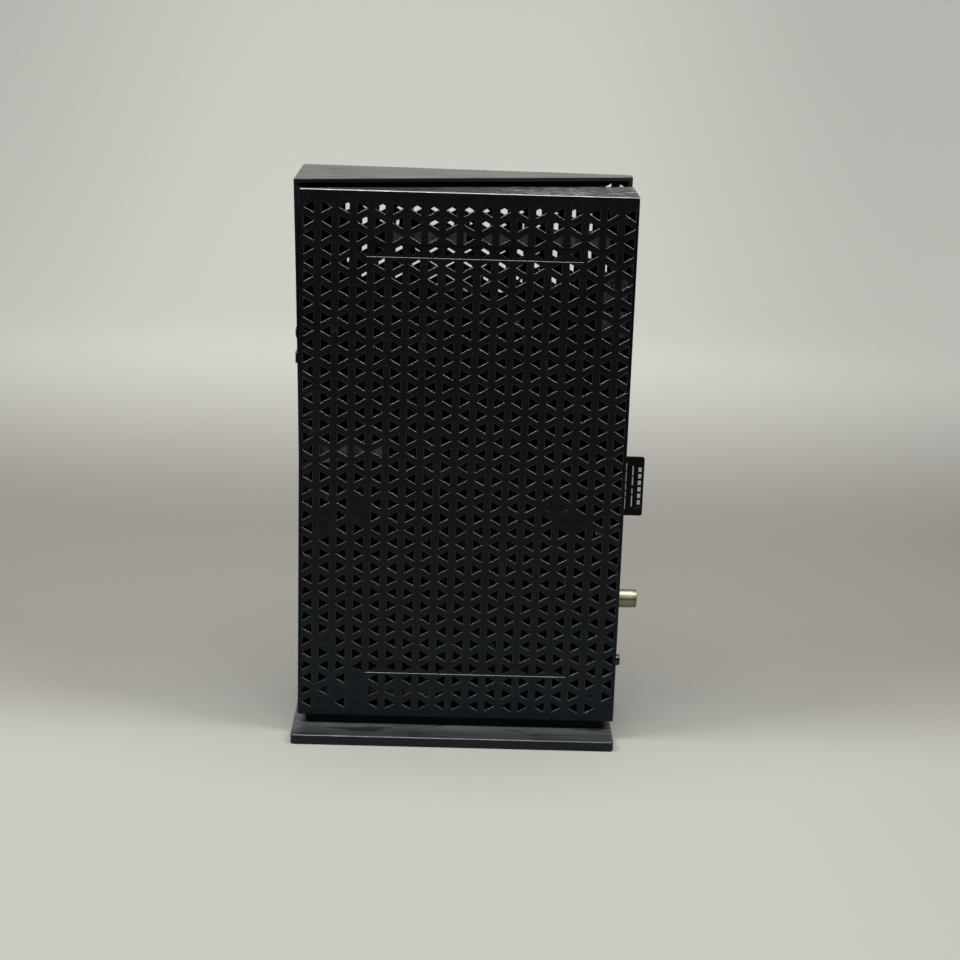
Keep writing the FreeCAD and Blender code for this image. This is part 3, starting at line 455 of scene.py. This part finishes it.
def clear_lens(name):
    finish = Finish(name, 0.22, colour=(0.86, 0.88, 0.9))
    finish.set("Transmission Weight", 0.75)
    finish.set("IOR", 1.49)
    finish.set("Roughness", finish.spread(finish.noise(0.6, detail=2), 0.3, 0.7, 0.16, 0.3))
    return finish.material


# PAPER_FRONT is the paper's own colour; the others are painted shadow behind the object, painted light on
# the sweep and painted shade to the sides, far out and in front.
PAPER_FRONT = (0.200, 0.200, 0.187)
PAPER_SHADOW_BEHIND = (0.123, 0.118, 0.109)
PAPER_SWEEP_LIT = (0.318, 0.318, 0.301)
PAPER_SHADE = (0.03, 0.03, 0.03)
PAPER_FAR_SIDE_SHADE = (0.05, 0.05, 0.05)


def studio_floor(name):
    """Pale paper, with a painted shadow just behind the object, painted shade to its sides, far out and well
    in front, and painted light on the sweep.

    Places are in metres from the object's middle."""
    finish = Finish(name, 0.85, specular=0.2)
    across, along, _ = finish.axes()
    paper = finish.mix(finish.spread(along, -0.08, 0.14), PAPER_FRONT, PAPER_SHADOW_BEHIND)
    paper = finish.mix(finish.spread(along, 0.30, 0.95), paper, PAPER_SWEEP_LIT)
    shade_aside = finish.spread(finish.maths("ABSOLUTE", finish.maths("ADD", across, 0.06)), 0.16, 0.58)
    paper = finish.mix(finish.maths("MULTIPLY", shade_aside, 0.22), paper, PAPER_SHADE)
    paper = finish.mix(finish.spread(along, -0.85, -0.27, 1, 0), paper, PAPER_SHADE)
    far_shade = finish.spread(finish.maths("ABSOLUTE", across), 0.62, 0.8)
    finish.set("Base Color", finish.mix(far_shade, paper, PAPER_FAR_SIDE_SHADE))
    finish.set("Normal", finish.bump(finish.noise(1.6, detail=5), 0.12, 0.25))
    return finish.material


BLACK = (0.0024, 0.0033, 0.0046)
FINISHES = {
    "front_shell": lambda name: moulded(name, BLACK, 0.42, dust=0.09, specular=0.17, scuffed=0.2),
    "rear_shell": lambda name: moulded(name, BLACK, 0.36, dust=0.33, specular=0.36, crown_sheen=True),
    "port_black": lambda name: moulded(name, tinted(BLACK, 1.1), 0.46, grain=0.6, dust=0.1),
    "stand_black": lambda name: moulded(name, tinted(BLACK, 0.55), 0.36, dust=0.19, specular=0.3,
                                        dust_colour=(0.135, 0.15, 0.153), streaks=1.3, tread_sheen=True),
    # The neck's black, darker than the body's, is painted shade under the panel.
    "neck_black": lambda name: moulded(name, tinted(BLACK, 0.5), 0.5, dust=0.02, specular=0.08),
    "foot_rubber": lambda name: rubber(name, (0.02, 0.02, 0.021)),
    "bezel_gloss": lambda name: polished_black(name, tinted(BLACK, 0.7), 0.12),
    "button_black": lambda name: moulded(name, tinted(BLACK, 0.25), 0.14, marks=0.01, dust=0.0,
                                         specular=0.5),
    "lens_clear": clear_lens,
    "frame_black": lambda name: moulded(name, tinted(BLACK, 0.6), 0.6, dust=0.05, specular=0.08),
    # The main board's near-black mask is painted shade inside the housing, darker than its own green.
    "board_green": lambda name: circuit_board(name, (0.001, 0.004, 0.0025), (0.003, 0.010, 0.005), 0.12),
    # The antenna board's pale tan is its own colour, lightened with painted light in place of the light
    # reaching it through the vents.
    "antenna_board": lambda name: circuit_board(name, (0.55, 0.50, 0.30), (0.80, 0.72, 0.45), 0.5),
    "chip_black": lambda name: ceramic(name, (0.014, 0.014, 0.015), 0.5, 0.5),
    "led_white": lambda name: ceramic(name, (0.62, 0.60, 0.50), 0.4),
    # The shield cans' near-black steel is painted shade inside the housing.
    "can_steel": lambda name: metal(name, (0.012, 0.012, 0.013), 0.5, stain=(0.01, 0.009, 0.008)),
    "sink_black": lambda name: ceramic(name, (0.006, 0.006, 0.0065), 0.55, 0.6),
    "pad_grey": lambda name: ceramic(name, (0.19, 0.20, 0.22), 0.85, 1.0),
    "screw_steel": lambda name: metal(name, (0.46, 0.46, 0.47), 0.28),
    "coax_nickel": lambda name: metal(name, (0.235, 0.22, 0.165), 0.36, grain=(0.5, 1, 1), stained=0.05,
                                      drawn=0.06),
    "insulator_white": lambda name: ceramic(name, (0.72, 0.70, 0.64), 0.45),
    "contact_gold": lambda name: metal(name, (0.83, 0.61, 0.24), 0.24, stained=0.12),
    "usb_steel": lambda name: metal(name, (0.56, 0.56, 0.56), 0.26),
    "tongue_black": lambda name: ceramic(name, (0.013, 0.013, 0.014), 0.4, 0.5),
    "jack_black": lambda name: moulded(name, tinted(BLACK, 1.1), 0.38, grain=0.35, dust=0.05),
    "label_black": lambda name: moulded(name, tinted(BLACK, 0.5), 0.4, grain=0.3, dust=0.02, specular=0.11),
    "capacitor_sleeve": lambda name: ceramic(name, (0.012, 0.018, 0.045), 0.3, 1.5),
    "lead_grey": lambda name: ceramic(name, (0.06, 0.06, 0.063), 0.5, 0.7),
    "ribbon_white": lambda name: ceramic(name, (0.55, 0.54, 0.50), 0.5, 1.2),
}
finishes = {slot: make(slot + "_finish") for slot, make in FINISHES.items()}
slot_of = {}
for node_name, node_object in nodes.items():
    slot_of[node_name] = node_object.data.materials[0].name
    node_object.material_slots[0].material = finishes[slot_of[node_name]]
# Painted shade: the nut behind the panel is made near-black so it stays dark through the holes.
nodes["coax_nut"].material_slots[0].material = metal("painted_shade_nut_finish", (0.05, 0.05, 0.05), 0.5)


# ---------------------------------------------------------------- rounded mouldings
WELD = 0.002 * MM
FLAT_ANGLE = 0.4
CREASE_ANGLE = 28.0
CREASE_BESIDE_MOUTHS = 40.0
IN_PLANE = 0.02 * MM
SLOT_WALL = 1.0 * MM
MOUTH_STEPS = 3
EDGE_STEPS = 2
LIP_REACH = 0.7 * MM
LIP_TILT = (0.15, 0.97)


def creases(build, angle):
    """Edges where two faces meet at more than an angle in degrees."""
    limit = math.radians(angle)
    return [edge for edge in build.edges if edge.is_manifold and edge.calc_face_angle() > limit]


def bevel(build, edges, radius, segments, material):
    bmesh.ops.bevel(build, geom=edges, offset=radius * MM, segments=segments, profile=0.5, affect="EDGES",
                    clamp_overlap=True, material=material)


def slot_mouths(build, plane):
    """Edges in a panel's outer plane where a slot's wall runs inward."""
    found = []
    for edge in creases(build, CREASE_ANGLE):
        flat = all(abs(vert.co.y - plane) < IN_PLANE for vert in edge.verts)
        reach = max(abs(vert.co.y - plane) for face in edge.link_faces for vert in face.verts)
        if flat and reach > SLOT_WALL:
            found.append(edge)
    return found


def rounded(node, radius, edge_finish=None, mouth=None, lip_highlight=None):
    """The CAD node's own shape, its sharp edges rounded to a radius in millimetres, in place of the node.

    mouth is the radius round the slots of a panel that faces -Y; the lip finish, if given, goes on the CAD's
    own roundings round its top, where its pale grey is a painted highlight."""
    low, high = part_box(node)
    build = bmesh.new()
    build.from_mesh(nodes[node].data)
    bmesh.ops.remove_doubles(build, verts=build.verts, dist=WELD)
    bmesh.ops.dissolve_limit(build, angle_limit=math.radians(FLAT_ANGLE), verts=build.verts,
                             edges=build.edges)
    bmesh.ops.connect_verts_concave(build, faces=build.faces)
    material = 1 if edge_finish else 0
    if mouth:
        bevel(build, slot_mouths(build, low.y), mouth, MOUTH_STEPS, material)
    sharp = creases(build, CREASE_BESIDE_MOUTHS if mouth else CREASE_ANGLE)
    bevel(build, sharp, radius, EDGE_STEPS, material)
    build.normal_update()
    shade(build, 50)
    # Painted highlight: the tilted faces round the top take the lip finish.
    if lip_highlight:
        for face in build.faces:
            tilted = LIP_TILT[0] < face.normal.z < LIP_TILT[1]
            if tilted and face.calc_center_median().z > high.z - LIP_REACH:
                face.material_index = 2
    materials = [finishes[slot_of[node]]]
    materials += [extra for extra in (edge_finish, lip_highlight) if extra]
    piece = add_object(node + "_moulding", build, materials)
    normals = piece.modifiers.new("even_shading", "WEIGHTED_NORMAL")
    normals.keep_sharp = True
    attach(piece, body_of[node])
    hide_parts(node)


shell_edge = worn_edge("shell_edge_finish", tinted(BLACK, 2.0), 0.28, specular=0.95)
soft_edge = worn_edge("soft_edge_finish", tinted(BLACK, 2.0), 0.38, specular=0.3)
# The lip finishes' pale greys paint the highlight along the panel's and stand's top edges; their rubbed
# patches are real wear.
panel_lip_highlight = worn_edge("panel_lip_finish", (0.18, 0.182, 0.182), 0.3, specular=0.8)
stand_lip_highlight = worn_edge("stand_lip_finish", (0.045, 0.048, 0.05), 0.3, specular=0.8)
rounded("front_cover", 0.2, edge_finish=shell_edge, mouth=0.24, lip_highlight=panel_lip_highlight)
rounded("rear_cover", 0.25, edge_finish=soft_edge)
rounded("port_panel", 0.2, edge_finish=soft_edge)
rounded("stand_base", 0.25, edge_finish=shell_edge, lip_highlight=stand_lip_highlight)
rounded("stand_neck", 0.2)
rounded("label_card", 0.12)
rounded("power_button", 0.15)


# ---------------------------------------------------------------- turned and printed pieces
def coax_barrel():
    """The nickel connector: a collar at the panel, a plain barrel, a groove and a rounded lip.

    Its outline is (radius, distance along the axis) in millimetres, and comes back through the bore."""
    low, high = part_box("coax_connector")
    middle_line = (low + high) / 2
    length = (high.x - low.x) / MM
    collar, barrel, bore = 5.3, 4.76, 3.7
    profile = [(bore, 0), (collar, 0), (collar, 4.3), (5.1, 4.65), (barrel, 4.7), (barrel, length - 1.75),
               (4.5, length - 1.6), (4.42, length - 1.3), (4.5, length - 1.0), (barrel, length - 0.9),
               (barrel, length - 0.5), (4.68, length - 0.25), (4.5, length - 0.08), (4.3, length),
               (4.0, length - 0.06), (bore, length - 0.35), (bore, 0)]
    piece = lathe("coax_barrel", [(radius * MM, height * MM) for radius, height in profile], 64,
                  (low.x, middle_line.y, middle_line.z), finishes["coax_nickel"], axis="X")
    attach(piece, "housing")
    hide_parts("coax_connector")


def bar(name, low, high, body, finish):
    """A small block between two corners."""
    build = bmesh.new()
    bmesh.ops.create_cube(build, size=1.0)
    centre = (low + high) / 2
    for vert in build.verts:
        vert.co = Vector((centre[axis] + vert.co[axis] * (high[axis] - low[axis]) for axis in range(3)))
    piece = add_object(name, build, [finish])
    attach(piece, body)


INK_PROUD = 0.02 * MM


def label_print():
    """Plain printed blocks down the card: a bold row near its outer edge and two rows of thin ones.

    A row is its distance in from that edge, its width, and each block's start and end below the card's
    top, in millimetres."""
    ink = ceramic("label_ink", (0.36, 0.36, 0.355), 0.5, 0.4)
    low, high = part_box("label_card")
    face = low.y
    rows = [(2.1, 1.5, [(5.4 + 3.4 * step, 7.6 + 3.4 * step) for step in range(6)]),
            (5.6, 0.55, [(4.6, 9.4), (10.2, 14.6), (16.4, 19.0), (20.0, 25.8)]),
            (8.9, 0.5, [(3.4, 7.0), (7.8, 13.0), (13.8, 17.2), (18.0, 20.6), (21.4, 27.2)])]
    number = 0
    for inward, width, parts in rows:
        for start, end in parts:
            number += 1
            x = high.x - inward * MM
            half = width * MM / 2
            bar("label_bar_%d" % number, Vector((x - half, face - INK_PROUD, high.z - end * MM)),
                Vector((x + half, face + INK_PROUD, high.z - start * MM)), "label_card", ink)


# The panel's two shallow bands, in millimetres from its left edge, into it and above the floor.
BAND_START = 28.99
LOWER_BAND_START = BAND_START + 5.5
BAND_END = 136.4
BAND_DEPTH = 0.4
BAND_SLOPE = 0.14
HALF_ROW = 3.338
UPPER_MIDDLE = 250.51
LOWER_MIDDLE = 36.88


def band_slope(name, points):
    """A sloping strip in the lower corner of a shallow band of the panel, from point to point (x, z)."""
    build = bmesh.new()
    rings = []
    sunk = BAND_DEPTH + 0.02
    section = ((BAND_DEPTH - BAND_SLOPE, 0), (sunk, BAND_SLOPE), (sunk, 0))
    for x, z in points:
        rings.append([build.verts.new(at(x, y, z + rise)) for y, rise in section])
    for before, after in zip(rings, rings[1:]):
        for step in range(3):
            follow = (step + 1) % 3
            build.faces.new((before[step], before[follow], after[follow], after[step]))
    build.faces.new(rings[0][::-1])
    build.faces.new(rings[-1])
    bmesh.ops.recalc_face_normals(build, faces=build.faces)
    piece = add_object(name, build, [shell_edge])
    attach(piece, "housing")


coax_barrel()
label_print()
band_slope("upper_band_edge", [(BAND_START, UPPER_MIDDLE), (BAND_START + HALF_ROW, UPPER_MIDDLE - HALF_ROW),
                               (BAND_END, UPPER_MIDDLE - HALF_ROW)])
band_slope("lower_band_edge", [(LOWER_BAND_START, LOWER_MIDDLE - HALF_ROW),
                               (BAND_END, LOWER_MIDDLE - HALF_ROW)])

# ---------------------------------------------------------------- stage
SWEEP_START = 1.05
SWEEP_RADIUS = 0.8
SWEEP_STEPS = 12
WALL_TOP = 2.8
WARM = (1.0, 0.985, 0.95)
NEUTRAL = (1.0, 1.0, 1.0)


def add_sweep():
    """A round floor that turns up into a wall all round."""
    profile = [(0, 0), (0.3, 0), (0.7, 0), (SWEEP_START, 0)]
    for step in range(1, SWEEP_STEPS + 1):
        turn = math.radians(90 * step / SWEEP_STEPS)
        profile.append((SWEEP_START + SWEEP_RADIUS * math.sin(turn), SWEEP_RADIUS * (1 - math.cos(turn))))
    profile.append((SWEEP_START + SWEEP_RADIUS, WALL_TOP))
    floor = lathe("studio_sweep", profile, 96, (0, 0, 0), studio_floor("paper_finish"))


add_camera()
add_sweep()
add_world(0.35)
add_light("overhead_softbox", place=(-0.05, -0.38, 1.70), aim=(0, 0.05, 0), size=(0.8, 0.7), power=26,
          colour=WARM)
for name, side in (("left_softbox", -1), ("right_softbox", 1)):
    add_light(name, place=(side * 1.02, -0.24, 1.72), aim=(0, 0, 0.15), size=(0.55, 0.8), power=36,
              colour=WARM)
add_light("front_fill", place=(-0.10, -1.25, 1.00), aim=(0, 0, 0.2), size=(0.4, 0.4), power=5,
          colour=NEUTRAL)
add_light("wall_softbox", place=(0.0, 0.4, 2.3), aim=(0, 1.8, 0.5), size=(1.6, 0.5), power=30,
          colour=NEUTRAL)

bpy.context.scene.view_settings.view_transform = "Standard"
